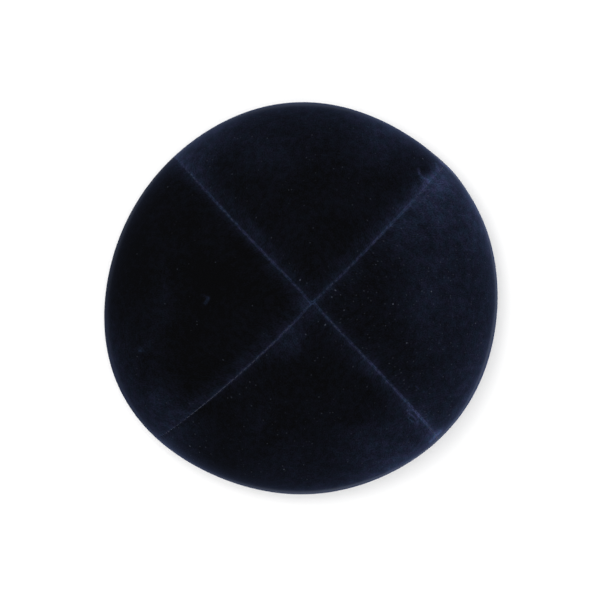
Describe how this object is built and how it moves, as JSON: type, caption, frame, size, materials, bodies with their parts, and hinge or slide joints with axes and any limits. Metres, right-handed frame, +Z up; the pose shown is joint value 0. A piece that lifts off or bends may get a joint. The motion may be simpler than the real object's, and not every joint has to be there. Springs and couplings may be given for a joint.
{
  "type": "kippah skullcap",
  "caption": "Round velvet skullcap: four triangular gores sewn together at the crown, hollow for the head, with a slim bound rim that it rests on.",
  "frame": {"origin": "middle of the rim's outer box, on the surface that the rim rests on", "axes": "+Z up from the rim to the crown's tip, +X to the cap's right side, +Y to its back"},
  "size_m": [0.1764, 0.176, 0.0572],
  "materials": {
    "velvet": "navy velvet pile with a soft blue sheen at grazing angles",
    "rim_tape": "matt woven navy binding tape"
  },
  "bodies": {
    "root": {"gore_back": "velvet", "gore_left": "velvet", "gore_front": "velvet", "gore_right": "velvet", "rim_binding": "rim_tape"}
  },
  "joints": []
}
